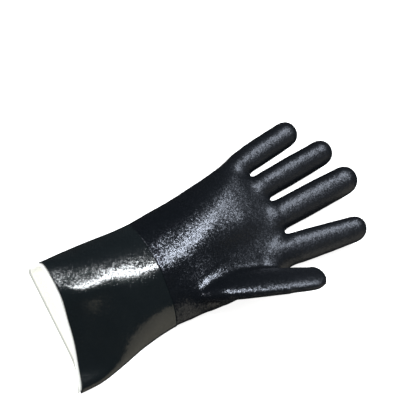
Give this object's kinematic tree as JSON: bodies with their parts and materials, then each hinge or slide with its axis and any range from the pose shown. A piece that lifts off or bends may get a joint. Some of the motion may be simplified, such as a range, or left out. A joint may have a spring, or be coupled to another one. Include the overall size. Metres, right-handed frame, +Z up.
{
  "type": "pvc coated work glove",
  "caption": "gauntlet work glove with a rough black PVC coated hand, a smooth glossy PVC gauntlet and a white knitted lining, lying palm up",
  "frame": {"origin": "under the middle of the glove, on the surface that its back lies on", "axes": "+X towards the thumb, +Y from the mouth of the gauntlet to the fingertips, +Z up, out of the palm"},
  "size_m": [0.1396, 0.3052, 0.0483],
  "materials": {
    "smooth_pvc": "smooth, glossy",
    "rough_pvc": "sandy, grainy",
    "knit": "fine jersey knit"
  },
  "bodies": {
    "root": {"gauntlet_coat": "smooth_pvc", "hand_coat": "rough_pvc", "knit_liner": "knit"}
  },
  "joints": []
}
